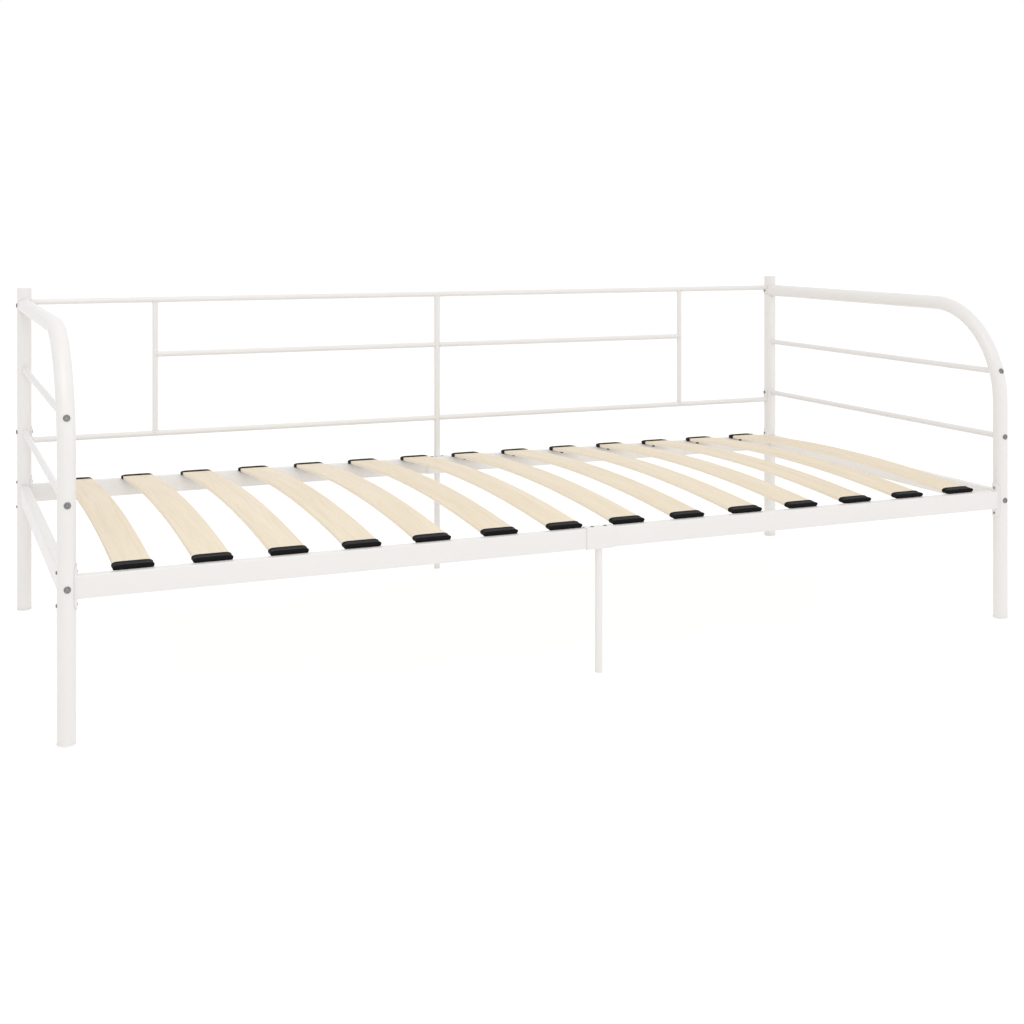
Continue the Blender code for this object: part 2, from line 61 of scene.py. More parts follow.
# Every size is in metres. First the ones that the frame's own boxes give; the end beams and the
# bed rails have the same section at the same height.
TUBE_R = width("right_back_post") / 2    # legs, posts and arms
END_X = middle("right_back_post").x
POST_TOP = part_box("right_back_post")[1].z
BACK_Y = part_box("right_back_post")[1].y - TUBE_R
FRONT_Y = -BACK_Y
ARM_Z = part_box("right_arm_and_front_leg")[1].z - TUBE_R
ROD_Z = {level: middle(f"right_{level}_side_rod").z for level in ("lower", "upper")}
RAIL_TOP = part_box("right_end_beam")[1].z
RAIL_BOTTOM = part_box("right_end_beam")[0].z
RAIL_Z = (RAIL_TOP + RAIL_BOTTOM) / 2
RAIL_HALF_H = (RAIL_TOP - RAIL_BOTTOM) / 2
RAIL_DEPTH = width("right_end_beam")
SLEEVE_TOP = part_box("back_centre_leg_and_sleeve")[1].z
SLATS = [f"slat_{i:02d}" for i in range(1, 15)]
SLAT_W = width("slat_01")
SLAT_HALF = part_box("slat_01")[1].y       # half of a slat's length
CAP_HALF_W = width("back_slat_cap_01") / 2

# Clearances
FIT = 0.0003                             # between parts that are put together
COPE_GAP = 0.00025                       # round a tube that another one is cut to fit
HUG_GAP = 0.0001                         # under the plates and lugs that hug the legs
HUG_R = TUBE_R + HUG_GAP

# The tube work
BEND_R = 0.220                           # arm to front leg, on the centre line
BEND_Y = FRONT_Y + BEND_R
BEND_Z = ARM_Z - BEND_R
BEND_STEPS = 40
BEND_LEAD = 0.02                         # straight tube before and after the bend's own points
ROD_R = 0.0065                           # side rods and backrest rods
ROD_STEP = 0.00005                       # a rod is this much thinner than the one it is welded to
CENTRE_R = 0.0075                        # centre legs and the backrest's middle upright
CENTRE_LEG_FOOT = 0.002                  # the centre legs start here, inside their foot plugs
POST_TOP_GAP = 0.0012                    # from the rim of the post up to the top of its plug
POST_RIM = 0.0006                        # rounding of the posts' ends

# The rails and the sleeves
RAIL_CORNER = 0.0025
RAIL_INNER_X = 0.006                     # where each half rail starts, inside the sleeve
RAIL_BURIED = 0.010                      # the uncut rail stops this far from the leg's centre line
PLATE_T, PLATE_W, PLATE_H, PLATE_CORNER = 0.0018, 0.024, 0.080, 0.0115
PLATE_EASE = 0.0005                      # rounded edges of the plates and lugs
PLATE_BOLT_Z = (0.2395, 0.2965)
SLEEVE_WALL, SLEEVE_EASE, SLEEVE_CORNER = 0.0013, 0.0003, 0.0032

# The backrest
TOP_ROD_Z, MIDDLE_ROD_Z, LOWER_ROD_Z = 0.714, 0.5825, 0.3925
UPRIGHT_X = 0.721
UPRIGHT_GAP = 0.0002                     # between the middle upright and the sleeve
UPRIGHT_DROP = 0.0035                    # the middle upright stops this far below the top rod's centre
UPRIGHT_RIM = 0.0004                     # rounding of the middle upright's ends
LUG_T, LUG_CORNER = 0.0018, 0.0065
LUG_HALF_W = 0.009
LUG_Z_SPANS = ((0.6950, 0.7215), (0.3850, 0.4245))

# Weld beads
RAIL_BEAD_R, ROD_BEAD_R, LUG_BEAD_R, CENTRE_BEAD_R = 0.0012, 0.0011, 0.0010, 0.0012
BEAD_LIFT = 0.0002                       # how far a bead's middle stands out of the rods
BEAD_RIPPLE, BEAD_WANDER = 0.10, 0.18    # how uneven a bead is, as shares of its radius
RIPPLE_POINTS = 5                        # points of a bead's line to one ripple
WANDER_STEP, WANDER_SEED_STEP = 0.31, 1.7

# Bolts and screws: head radius, head height, and the socket's width across flats
LEG_BOLT = (0.0061, 0.0032, 0.0030)
POST_BOLT = (0.0050, 0.0034, 0.0028)
POST_BOLT_INNER_END = (0.0044, 0.0009, 0.0024)
PLATE_BOLT_INNER_END = (0.0029, 0.0006, 0.0016)
SLEEVE_SCREW = (0.0040, 0.0016, 0.0025)
PLATE_NUT = (0.0062, 0.0030)             # width across flats, height
LEG_BOLT_SINK, POST_BOLT_SINK = 0.0014, 0.0012   # flat undersides bed into the round tube
PLATE_NUT_SINK, SLEEVE_SCREW_SINK = 0.0010, 0.0006
BEAM_BOLT_Z = 0.269
UPPER_BOLT_RISE = 0.0022                 # the upper rod's bolt sits this far above the rod's line
SLEEVE_SCREW_X = 0.0144

# Plugs
FOOT_FLANGE, FOOT_OVERHANG = 0.0040, 0.0005
CENTRE_FOOT_FLANGE, CENTRE_FOOT_OVERHANG = 0.003, 0.0006
POST_PLUG_INSET = 0.0007

# The slats
SLAT_CROWN = 0.3175                      # top of a slat at mid span
SLAT_CURVE = 0.0965                      # drop below the crown per metre squared from mid span
SLAT_END_SLOPE = -2 * SLAT_CURVE * SLAT_HALF
SLAT_T, SLAT_EDGE = 0.008, 0.0014
SLAT_STEPS = 48
PLY_T = 0.0016
GRAIN_SHIFT_X, GRAIN_SHIFT_Y = 0.731, 0.393      # moves the wood's pattern on from slat to slat

# The slat caps
CAP_HALF_T = 0.0062
CAP_MOUTH_Y, CAP_TIP_Y = 0.4436, 0.4655
CAP_POINTS = 80
CAP_WIDE_POWER, CAP_TALL_POWER = 2 / 8, 2 / 2.2  # nearly square across, nearly round in height
CAP_RAIL_GAP = 0.0005
CAP_SHOULDER_Y = BACK_Y - RAIL_DEPTH / 2 - CAP_RAIL_GAP
CAP_INSET = 0.0003                       # the shell behind the raised rim of its mouth
CAP_TIP_CORNER, CAP_TIP_LIP, CAP_TIP_STEPS = 0.0042, 0.0013, 9
LEDGE_HALF_T = 0.0044                    # the cap's ledge rests on the rail
POCKET_DEEPER, POCKET_GAP, POCKET_CORNER = 0.0005, 0.0002, 0.0016
POCKET_REACH = 0.03                      # the pocket's cutter starts this far outside the mouth
BOSS_HALF_W, BOSS_HALF_H, BOSS_CORNER = 0.0029, 0.0028, 0.0012
BOSS_LENGTH, BOSS_CHAMFER = 0.0045, 0.0005
PEG_R, PEG_Z, PEG_LENGTH, PEG_CHAMFER = 0.0025, 0.2832, 0.007, 0.001
PEG_ROOT = 0.001                         # the peg starts this deep inside the boss

ROUND_SIDES = 48
CENTRE_SIDES = 32
PEG_SIDES = 28
BEAD_SIDES = 10
DOME_STEPS = 5


# ---------------------------------------------------------------- mesh helpers

def circle(centre, u, v, radius, sides):
    turns = (2 * math.pi * i / sides for i in range(sides))
    return [centre + u * (radius * math.cos(t)) + v * (radius * math.sin(t)) for t in turns]


def hexagon(centre, u, v, across_flats, sides):
    """A hexagon's outline drawn with the same number of points as a circle."""
    points = []
    for i in range(sides):
        turn = 2 * math.pi * i / sides
        within = (turn + math.pi / 6) % (math.pi / 3) - math.pi / 6
        reach = across_flats / 2 / math.cos(within)
        points.append(centre + u * (reach * math.cos(turn)) + v * (reach * math.sin(turn)))
    return points


def rounded_rect(centre, u, v, half_u, half_v, corner, steps=5):
    points = []
    for su, sv, first in ((1, 1, 0), (-1, 1, 90), (-1, -1, 180), (1, -1, 270)):
        for i in range(steps + 1):
            turn = math.radians(first + 90 * i / steps)
            a = su * (half_u - corner) + corner * math.cos(turn)
            b = sv * (half_v - corner) + corner * math.sin(turn)
            points.append(centre + u * a + v * b)
    return points


def loft(bm, rings, closed=False):
    """Skin a run of rings of equal length; an open run gets flat ends."""
    rows = [[bm.verts.new(point) for point in ring] for ring in rings]
    pairs = list(zip(rows, rows[1:]))
    if closed:
        pairs.append((rows[-1], rows[0]))
    count = len(rows[0])
    for a, b in pairs:
        for i in range(count):
            j = (i + 1) % count
            bm.faces.new((a[i], a[j], b[j], b[i]))
    if not closed:
        bm.faces.new(rows[0][::-1])
        bm.faces.new(rows[-1])


def across(axis):
    """Two unit vectors at right angles to an axis."""
    side = Z if abs(axis.z) < 0.9 else X
    u = axis.cross(side).normalized()
    return u, axis.cross(u)


def turned(bm, origin, axis, profile, sides=ROUND_SIDES):
    """A turned solid; profile is (distance along the axis, radius) pairs."""
    u, v = across(axis)
    loft(bm, [circle(origin + axis * d, u, v, r, sides) for d, r in profile])


def rod(bm, start, end, radius, sides=ROUND_SIDES, ease=0.0):
    """A straight round bar; ease rounds off the rims of its ends."""
    axis = (end - start).normalized()
    length = (end - start).length
    profile = [(0, radius), (length, radius)]
    if ease:
        turns = (0.0, 0.4, 0.8, 1.2, math.pi / 2)
        head = [(ease * (1 - math.cos(t)), radius - ease + ease * math.sin(t)) for t in turns]
        profile = head + [(length - d, r) for d, r in reversed(head)]
    turned(bm, start, axis, profile, sides)


def sweep(bm, points, radii, sides, closed=False, side=None):
    """A round bar along points, with its own radius at each."""
    count = len(points)
    rings = []
    for i, point in enumerate(points):
        before = points[i - 1] if closed or i else point
        after = points[(i + 1) % count] if closed or i + 1 < count else point
        along = (after - before).normalized()
        u = side if side else across(along)[0]
        u = (u - along * u.dot(along)).normalized()
        rings.append(circle(point, u, along.cross(u), radii[i], sides))
    loft(bm, rings, closed)


def bead(bm, points, radius, seed):
    """A closed weld bead along points, of uneven, rippled thickness; the seed only varies that."""
    count = len(points)
    centre = sum(points, Vector()) / count
    ripples = round(count / RIPPLE_POINTS)
    radii = []
    for i in range(count):
        ripple = BEAD_RIPPLE * math.sin(2 * math.pi * i * ripples / count)
        wander = BEAD_WANDER * noise.noise(Vector((i * WANDER_STEP, seed * WANDER_SEED_STEP, 0)))
        radii.append(radius * (1 + ripple + wander))
    normal = (points[0] - centre).cross(points[count // 4] - centre).normalized()
    sweep(bm, points, radii, BEAD_SIDES, closed=True, side=normal)


def saddle(centre, axis, other, radius, big_radius, count=56):
    """The line where a rod along axis meets a rod along other, lifted a little out of both."""
    third = axis.cross(other)
    points = []
    for i in range(count):
        turn = 2 * math.pi * i / count
        a = (radius + BEAD_LIFT) * math.cos(turn)
        b = (radius + BEAD_LIFT) * math.sin(turn)
        reach = math.sqrt(max((big_radius + BEAD_LIFT) ** 2 - b * b, 0.0))
        points.append(centre + other * a + third * b + axis * reach)
    return points


def dense(points, step):
    """Points at even steps round a closed line."""
    result = []
    for a, b in zip(points, points[1:] + points[:1]):
        parts = max(1, round((b - a).length / step))
        result += [a.lerp(b, i / parts) for i in range(parts)]
    return result


def mesh_of(bm):
    bmesh.ops.recalc_face_normals(bm, faces=bm.faces)
    mesh = bpy.data.meshes.new("work")
    bm.to_mesh(mesh)
    bm.free()
    return mesh


def place(name, mesh, material, stands_for=(), sharp=40):
    """Make a piece of a mesh, smooth-shade it and let it ride on the frame."""
    mesh.name = name
    mesh.materials.clear()
    mesh.materials.append(material)
    mesh.shade_smooth()
    mesh.set_sharp_from_angle(angle=math.radians(sharp))
    obj = bpy.data.objects.new(name, mesh)
    bpy.context.scene.collection.objects.link(obj)
    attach(obj, "root")
    if stands_for:
        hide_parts(*stands_for)


def carved(mesh, *cutters):
    """The mesh with other meshes cut out of it."""
    body = bpy.data.objects.new("body", mesh)
    bpy.context.scene.collection.objects.link(body)
    tools = []
    for cutter in cutters:
        tool = bpy.data.objects.new("tool", cutter)
        bpy.context.scene.collection.objects.link(tool)
        modifier = body.modifiers.new("cut", "BOOLEAN")
        modifier.operation = "DIFFERENCE"
        modifier.solver = "EXACT"
        modifier.object = tool
        tools.append(tool)
    bpy.context.view_layer.update()
    result = bpy.data.meshes.new_from_object(body.evaluated_get(bpy.context.evaluated_depsgraph_get()))
    for obj in [body, *tools]:
        bpy.data.objects.remove(obj)
    return result


# ---------------------------------------------------------------- material helpers

def add(tree, kind, inputs=None, **settings):
    """A shader node; an input is either a value or the socket that feeds it."""
    made = tree.nodes.new(kind)
    for key, value in settings.items():
        setattr(made, key, value)
    for key, value in (inputs or {}).items():
        if isinstance(value, bpy.types.NodeSocket):
            tree.links.new(value, made.inputs[key])
        else:
            made.inputs[key].default_value = value
    return made


def new_material(name, roughness, metallic=0.0):
    material = bpy.data.materials.new(name)
    material.use_nodes = True
    tree = material.node_tree
    shader = tree.nodes["Principled BSDF"]
    shader.inputs["Roughness"].default_value = roughness
    shader.inputs["Metallic"].default_value = metallic
    return material, tree, shader


def object_place(tree):
    return add(tree, "ShaderNodeTexCoord").outputs["Object"]


def speckle(tree, where, scale, detail=2.0, roughness=0.5):
    inputs = {"Vector": where, "Scale": scale, "Detail": detail, "Roughness": roughness}
    return add(tree, "ShaderNodeTexNoise", inputs).outputs["Fac"]


def streaks(tree, where, scales, detail=1.0, roughness=0.5):
    """Noise with its own scale along each axis."""
    stretched = add(tree, "ShaderNodeMapping", {"Vector": where, "Scale": scales}).outputs["Vector"]
    return speckle(tree, stretched, 1.0, detail, roughness)


def remap(tree, value, source, target):
    """The value with the source range stretched to the target range, and clamped to it."""
    inputs = {"Value": value, "From Min": source[0], "From Max": source[1],
              "To Min": target[0], "To Max": target[1]}
    return add(tree, "ShaderNodeMapRange", inputs).outputs["Result"]


def arithmetic(tree, operation, *values):
    return add(tree, "ShaderNodeMath", dict(enumerate(values)), operation=operation).outputs[0]


def blend_colour(tree, factor, first, second):
    made = tree.nodes.new("ShaderNodeMix")
    made.data_type = "RGBA"
    factor_socket, first_socket, second_socket = made.inputs[0], made.inputs[6], made.inputs[7]
    for socket, value in ((factor_socket, factor), (first_socket, first), (second_socket, second)):
        if isinstance(value, bpy.types.NodeSocket):
            tree.links.new(value, socket)
        else:
            socket.default_value = value
    return made.outputs[2]


def bumped(tree, height, strength, distance, below=None):
    inputs = {"Height": height, "Strength": strength, "Distance": distance}
    if below:
        inputs["Normal"] = below
    return add(tree, "ShaderNodeBump", inputs).outputs["Normal"]


def connect(tree, shader, **sockets):
    for name, socket in sockets.items():
        tree.links.new(socket, shader.inputs[name.replace("_", " ")])


# ---------------------------------------------------------------- materials

def powder_coat():
    """Sprayed and baked white paint: orange peel, a faint cloudiness and a few nibs of dust."""
    light, dark, dust = (0.775, 0.754, 0.738, 1), (0.757, 0.736, 0.720, 1), (0.42, 0.40, 0.38, 1)
    roughness = 0.36
    material, tree, shader = new_material("white_powder_coat", roughness)
    where = object_place(tree)
    cloud = remap(tree, speckle(tree, where, scale=5.0, detail=4.0), (0.3, 0.7), (0.0, 1.0))
    nibs = remap(tree, speckle(tree, where, scale=700.0, detail=1.0), (0.76, 0.80), (0.0, 0.22))
    colour = blend_colour(tree, cloud, dark, light)
    colour = blend_colour(tree, nibs, colour, dust)
    patches = speckle(tree, where, scale=38.0, detail=3.0)
    satin = remap(tree, patches, (0.3, 0.7), (roughness - 0.05, roughness + 0.06))
    peel = bumped(tree, speckle(tree, where, scale=380.0), strength=0.16, distance=0.0004)
    fine = speckle(tree, where, scale=1900.0, detail=1.0)
    relief = bumped(tree, fine, strength=0.10, distance=0.0001, below=peel)
    connect(tree, shader, Base_Color=colour, Roughness=satin, Normal=relief)
    shader.inputs["Coat Weight"].default_value = 0.12
    shader.inputs["Coat Roughness"].default_value = 0.25
    return material


def birch_face(tree, where):
    """The wood's face: its colour, and the streaks, fibres and pores that its gloss and relief follow."""
    pale, honey, brown = (0.785, 0.684, 0.525, 1), (0.715, 0.588, 0.412, 1), (0.53, 0.39, 0.24, 1)
    pore_brown, cream = (0.36, 0.26, 0.155, 1), (0.82, 0.742, 0.602, 1)
    sway = 0.035                              # how far the grain wanders across the slat
    warp = streaks(tree, where, (14, 2.2, 14), detail=2.0)
    swing = arithmetic(tree, "MULTIPLY", warp, sway)
    bent = add(tree, "ShaderNodeCombineXYZ", {"X": swing}).outputs["Vector"]
    flow = add(tree, "ShaderNodeVectorMath", {0: where, 1: bent}, operation="ADD").outputs["Vector"]
    fibre = streaks(tree, flow, (800, 24, 450), detail=3.0, roughness=0.6)
    streak = streaks(tree, flow, (210, 6, 90), detail=3.0, roughness=0.6)
    figure = streaks(tree, flow, (34, 2.2, 12), detail=3.0, roughness=0.6)
    pore = streaks(tree, flow, (1500, 95, 700))
    tone = streaks(tree, where, (5, 0.7, 1))
    colour = blend_colour(tree, remap(tree, figure, (0.35, 0.68), (0.0, 0.50)), pale, honey)
    colour = blend_colour(tree, remap(tree, streak, (0.50, 0.78), (0.0, 0.28)), colour, brown)
    colour = blend_colour(tree, remap(tree, fibre, (0.48, 0.80), (0.0, 0.19)), colour, brown)
    colour = blend_colour(tree, remap(tree, pore, (0.64, 0.76), (0.0, 0.34)), colour, pore_brown)
    colour = blend_colour(tree, remap(tree, tone, (0.35, 0.65), (0.0, 0.25)), colour, cream)
    return colour, streak, fibre, pore


def birch_ply():
    """Pale lacquered birch ply: grain along the slat, pores, cloudy figure and plies on the edges."""
    dark_ply, light_ply = (0.79, 0.682, 0.528, 1), (0.845, 0.748, 0.59, 1)
    material, tree, shader = new_material("birch_ply", 0.5)
    where = add(tree, "ShaderNodeAttribute", attribute_name="grain").outputs["Vector"]
    face, streak, fibre, pore = birch_face(tree, where)
    depth = add(tree, "ShaderNodeSeparateXYZ", {"Vector": where}).outputs["Z"]
    plies = arithmetic(tree, "MULTIPLY", depth, 1 / PLY_T)
    layer = remap(tree, arithmetic(tree, "PINGPONG", plies, 2.0), (0.85, 1.15), (0.0, 1.0))
    edge_colour = blend_colour(tree, layer, dark_ply, light_ply)
    normal = add(tree, "ShaderNodeNewGeometry").outputs["Normal"]
    upright = add(tree, "ShaderNodeSeparateXYZ", {"Vector": normal}).outputs["Z"]
    edge = remap(tree, arithmetic(tree, "ABSOLUTE", upright), (0.35, 0.75), (0.85, 0.0))
    colour = blend_colour(tree, edge, face, edge_colour)
    gloss = remap(tree, streak, (0.3, 0.7), (0.42, 0.56))
    relief = bumped(tree, fibre, strength=0.22, distance=0.0002)
    relief = bumped(tree, pore, strength=0.12, distance=0.0002, below=relief)
    connect(tree, shader, Base_Color=colour, Roughness=gloss, Normal=relief)
    shader.inputs["Coat Weight"].default_value = 0.08
    shader.inputs["Coat Roughness"].default_value = 0.35
    return material


def black_plastic():
    """Moulded black plastic with a fine spark-eroded texture and lighter rub marks."""
    black, rubbed = (0.0085, 0.0085, 0.009, 1), (0.020, 0.020, 0.021, 1)
    material, tree, shader = new_material("black_plastic", 0.5)
    where = object_place(tree)
    texture = speckle(tree, where, scale=1400.0)
    rub = remap(tree, streaks(tree, where, (60, 260, 200), detail=4.0), (0.58, 0.8), (0.0, 0.35))
    colour = blend_colour(tree, rub, black, rubbed)
    dull = remap(tree, texture, (0.3, 0.7), (0.52, 0.68))
    relief = bumped(tree, texture, strength=0.25, distance=0.00015)
    connect(tree, shader, Base_Color=colour, Roughness=dull, Normal=relief)
    shader.inputs["Specular IOR Level"].default_value = 0.07
    return material


def zinc_steel():
    """Zinc-plated fastener steel: fine turning lines and patches of passivation."""
    light, dark = (0.27, 0.268, 0.262, 1), (0.20, 0.198, 0.195, 1)
    material, tree, shader = new_material("zinc_steel", 0.5, metallic=0.75)
    where = object_place(tree)
    patch = remap(tree, speckle(tree, where, scale=260.0, detail=3.0), (0.35, 0.65), (0.0, 1.0))
    scratch = streaks(tree, where, (900, 900, 3200), detail=2.0)
    colour = blend_colour(tree, patch, dark, light)
    rough = remap(tree, scratch, (0.3, 0.7), (0.48, 0.64))
    relief = bumped(tree, scratch, strength=0.2, distance=0.0001)
    connect(tree, shader, Base_Color=colour, Roughness=rough, Normal=relief)
    return material


def plug_plastic():
    """Off-white moulded polythene of the foot and post plugs, a little scuffed."""
    clean, scuffed = (0.80, 0.79, 0.775, 1), (0.66, 0.645, 0.62, 1)
    material, tree, shader = new_material("plug_plastic", 0.5)
    where = object_place(tree)
    scuff = remap(tree, streaks(tree, where, (90, 90, 420), detail=4.0), (0.52, 0.75), (0.0, 0.4))
    colour = blend_colour(tree, scuff, clean, scuffed)
    dull = remap(tree, scuff, (0.0, 0.4), (0.45, 0.65))
    relief = bumped(tree, speckle(tree, where, scale=900.0), strength=0.2, distance=0.00015)
    connect(tree, shader, Base_Color=colour, Roughness=dull, Normal=relief)
    return material


WHITE = powder_coat()
BIRCH = birch_ply()
BLACK = black_plastic()
ZINC = zinc_steel()
PLUG = plug_plastic()


# ---------------------------------------------------------------- end frames

def post_mesh(end, gap, side=1):
    """A bar down the centre line of a back post or front leg, a little longer than the post."""
    beyond = Z * 0.01
    foot = Vector((end * END_X, side * BACK_Y, 0))
    bm = bmesh.new()
    rod(bm, foot - beyond, foot + Z * POST_TOP + beyond, TUBE_R + gap)
    return mesh_of(bm)


def arm_mesh(end, gap, low):
    """The arm tube round its centre line, from a height on the leg, round the bend, to the post."""
    x = end * END_X
    points = [Vector((x, FRONT_Y, low)), Vector((x, FRONT_Y, BEND_Z - BEND_LEAD))]
    for i in range(BEND_STEPS + 1):
        turn = math.radians(180 - 90 * i / BEND_STEPS)
        points.append(Vector((x, BEND_Y + BEND_R * math.cos(turn), BEND_Z + BEND_R * math.sin(turn))))
    points += [Vector((x, BEND_Y + BEND_LEAD, ARM_Z)), Vector((x, BACK_Y, ARM_Z))]
    bm = bmesh.new()
    sweep(bm, points, [TUBE_R + gap] * len(points), ROUND_SIDES, side=X)
    return mesh_of(bm)


def between_leg_and_post(mesh, end):
    """A bar's mesh cut to fit the front leg or arm at one end and the back post at the other."""
    return carved(mesh, arm_mesh(end, COPE_GAP, 0), post_mesh(end, COPE_GAP))


def make_end_frame(end, name):
    x = end * END_X
    arm = carved(arm_mesh(end, 0, FOOT_FLANGE), post_mesh(end, COPE_GAP))
    place(f"{name}_arm_tube", arm, WHITE, [f"{name}_arm_and_front_leg"])

    bm = bmesh.new()
    top = Vector((x, BACK_Y, POST_TOP - POST_TOP_GAP))
    rod(bm, Vector((x, BACK_Y, FOOT_FLANGE)), top, TUBE_R, ease=POST_RIM)
    place(f"{name}_post_tube", mesh_of(bm), WHITE, [f"{name}_back_post"])

    for level, height in ROD_Z.items():
        bm = bmesh.new()
        rod(bm, Vector((x, FRONT_Y, height)), Vector((x, BACK_Y, height)), ROD_R)
        mesh = between_leg_and_post(mesh_of(bm), end)
        place(f"{name}_{level}_rod", mesh, WHITE, [f"{name}_{level}_side_rod"])

    bm = bmesh.new()
    loft(bm, [rounded_rect(Vector((x, y, RAIL_Z)), X, Z, RAIL_DEPTH / 2, RAIL_HALF_H, RAIL_CORNER)
              for y in (FRONT_Y, 0.0, BACK_Y)])
    mesh = between_leg_and_post(mesh_of(bm), end)
    place(f"{name}_beam", mesh, WHITE, [f"{name}_end_beam"])


# ---------------------------------------------------------------- rails, sleeves and centre legs

def hugging_plate(bm, end, side, half_y, z_span, thickness, corner):
    """A plate with rounded corners and eased edges, curved round the inboard face of a leg."""
    corner_steps, flat_steps = 9, 6
    first_turn, last_turn = 3, 90             # degrees round the plate's corner
    radius = HUG_R + thickness / 2
    half_z, mid_z = (z_span[1] - z_span[0]) / 2, (z_span[0] + z_span[1]) / 2
    leg = Vector((end * END_X, side * BACK_Y, mid_z))
    flat = half_y - corner
    stations = []
    for i in range(corner_steps + 1):
        turn = math.radians(first_turn + (last_turn - first_turn) * i / corner_steps)
        stations.append((flat + corner * math.cos(turn), half_z - corner * (1 - math.sin(turn))))
    plain = [(flat * (1 - 2 * i / flat_steps), half_z) for i in range(1, flat_steps)]
    mirrored = [(-dy, reach) for dy, reach in reversed(stations)]
    rings = []
    for dy, reach in stations + plain + mirrored:
        turn = math.asin(dy / radius)
        out = Vector((-end * math.cos(turn), math.sin(turn), 0))
        rings.append(rounded_rect(leg + out * radius, out, Z, thickness / 2, reach, PLATE_EASE, steps=3))
    loft(bm, rings)


def onto_plate(point, end, side, thickness):
    """The point moved along X onto the outer face of a plate that hugs a leg."""
    dy = point.y - side * BACK_Y
    return Vector((end * (END_X - math.sqrt((HUG_R + thickness) ** 2 - dy * dy)), point.y, point.z))


def make_rail(node, end, side):
    bead_corner, bead_step = 0.003, 0.0022
    y = side * BACK_Y
    bm = bmesh.new()
    loft(bm, [rounded_rect(Vector((x, y, RAIL_Z)), Y, Z, RAIL_DEPTH / 2, RAIL_HALF_H, RAIL_CORNER)
              for x in (end * RAIL_INNER_X, end * (END_X - RAIL_BURIED))])
    tube = carved(mesh_of(bm), post_mesh(end, FIT, side))
    bm = bmesh.new()
    bm.from_mesh(tube)
    z_span = (RAIL_Z - PLATE_H / 2, RAIL_Z + PLATE_H / 2)
    hugging_plate(bm, end, side, PLATE_W / 2, z_span, PLATE_T, PLATE_CORNER)
    path = rounded_rect(Vector((0, y, RAIL_Z)), Y, Z, RAIL_DEPTH / 2, RAIL_HALF_H, bead_corner, steps=12)
    line = [onto_plate(point, end, side, PLATE_T) for point in dense(path, bead_step)]
    bead(bm, line, RAIL_BEAD_R, seed=end + y)
    place(f"{node}_tube", mesh_of(bm), WHITE, [node])


def make_centre_support(node, side):
    """A sleeve round the ends of two half rails, on its thin leg."""
    y = side * BACK_Y
    low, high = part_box(node)
    half = Vector((high.x, (high.y - low.y) / 2, high.z - RAIL_Z))
    sleeve_bottom = RAIL_Z - half.z
    stations = (
        (-half.x, SLEEVE_EASE),
        (-half.x + SLEEVE_EASE, 0),
        (half.x - SLEEVE_EASE, 0),
        (half.x, SLEEVE_EASE),
        (half.x, SLEEVE_WALL),
        (-half.x, SLEEVE_WALL),
    )
    rings = []
    for x, inset in stations:
        centre = Vector((x, y, RAIL_Z))
        corner = SLEEVE_CORNER - inset
        rings.append(rounded_rect(centre, Y, Z, half.y - inset, half.z - inset, corner, steps=6))
    bm = bmesh.new()
    loft(bm, rings, closed=True)
    leg_into_sleeve, ring_gap = 0.0006, 0.0003
    leg_top = Vector((0, y, sleeve_bottom + leg_into_sleeve))
    rod(bm, Vector((0, y, CENTRE_LEG_FOOT)), leg_top, CENTRE_R, CENTRE_SIDES)
    ring = circle(Vector((0, y, sleeve_bottom - ring_gap)), X, Y, CENTRE_R + ring_gap, sides=40)
    bead(bm, ring, CENTRE_BEAD_R, seed=3 + side)
    place(f"{node}_steel", mesh_of(bm), WHITE, [node])


# ---------------------------------------------------------------- backrest

def add_backrest_rods(bm):
    half = END_X - HUG_R - FIT
    for height in (TOP_ROD_Z, LOWER_ROD_Z):
        rod(bm, Vector((-half, BACK_Y, height)), Vector((half, BACK_Y, height)), ROD_R)
    for side in (-1, 1):
        x = side * UPRIGHT_X
        rod(bm, Vector((x, BACK_Y, LOWER_ROD_Z)), Vector((x, BACK_Y, TOP_ROD_Z)), ROD_R - ROD_STEP)
    left, right = Vector((-UPRIGHT_X, BACK_Y, MIDDLE_ROD_Z)), Vector((UPRIGHT_X, BACK_Y, MIDDLE_ROD_Z))
    rod(bm, left, right, ROD_R - 2 * ROD_STEP)
    bottom = Vector((0, BACK_Y, SLEEVE_TOP + UPRIGHT_GAP))
    rod(bm, bottom, Vector((0, BACK_Y, TOP_ROD_Z - UPRIGHT_DROP)), CENTRE_R, ease=UPRIGHT_RIM)


def add_backrest_beads(bm):
    """The weld beads where the rods meet."""
    for side in (-1, 1):
        x = side * UPRIGHT_X
        for height, up in ((LOWER_ROD_Z, Z), (TOP_ROD_Z, -Z)):
            line = saddle(Vector((x, BACK_Y, height)), up, X, ROD_R, ROD_R)
            bead(bm, line, ROD_BEAD_R, seed=x + height)
        line = saddle(Vector((x, BACK_Y, MIDDLE_ROD_Z)), X * -side, Z, ROD_R, ROD_R)
        bead(bm, line, ROD_BEAD_R, seed=x + 5)
        for height, seed in ((MIDDLE_ROD_Z, side + 9), (LOWER_ROD_Z, side + 12)):
            line = saddle(Vector((0, BACK_Y, height)), X * side, Z, ROD_R, CENTRE_R)
            bead(bm, line, ROD_BEAD_R, seed)
    below_top, inset = 0.0040, 0.0004
    ring = circle(Vector((0, BACK_Y, TOP_ROD_Z - below_top)), X, Y, CENTRE_R - inset, ROUND_SIDES)
    bead(bm, ring, CENTRE_BEAD_R, seed=21)


